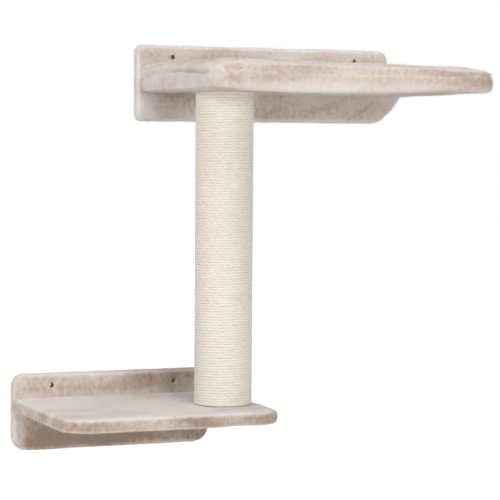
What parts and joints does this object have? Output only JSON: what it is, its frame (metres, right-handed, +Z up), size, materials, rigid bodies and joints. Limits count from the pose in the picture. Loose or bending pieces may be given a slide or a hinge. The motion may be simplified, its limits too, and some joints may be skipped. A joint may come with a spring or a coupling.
{
  "type": "cat climbing wall",
  "caption": "Wall-mounted cat climbing set: two plush-covered shelves on wall boards, the upper one padded, joined by a sisal-wound scratching post.",
  "frame": {"origin": "midway between the two upper wall screw holes, on the wall plane that the boards' backs lie on", "axes": "+X along the wall to the viewer's right, +Y into the wall, +Z up"},
  "size_m": [0.688, 0.3505, 0.6455],
  "materials": {
    "plush": "matte",
    "sisal": "matte",
    "chipboard": "matte",
    "beech": "matte",
    "foam": "matte",
    "tube_card": "matte",
    "screw_steel": "satin",
    "zinc_steel": "satin"
  },
  "bodies": {
    "root": {"lower_wall_board": "chipboard", "lower_shelf_board": "chipboard", "upper_wall_board": "chipboard", "upper_shelf_board": "chipboard", "lower_wall_board_cover": "plush", "lower_shelf_cover": "plush", "upper_wall_board_cover": "plush", "upper_shelf_cover": "plush", "lower_shelf_screws": "screw_steel", "upper_shelf_screws": "screw_steel", "lower_shelf_dowels": "beech", "upper_shelf_dowels": "beech", "post_lower_plug": "beech", "post_upper_plug": "beech", "post_lower_insert": "zinc_steel", "post_upper_insert": "zinc_steel", "post_lower_bolt": "zinc_steel", "post_lower_washer": "zinc_steel", "post_upper_bolt": "zinc_steel", "rope_lower_turns": "sisal", "rope_middle_turns": "sisal", "rope_upper_turns": "sisal", "upper_shelf_padding": "foam", "post_tube": "tube_card"}
  },
  "joints": []
}
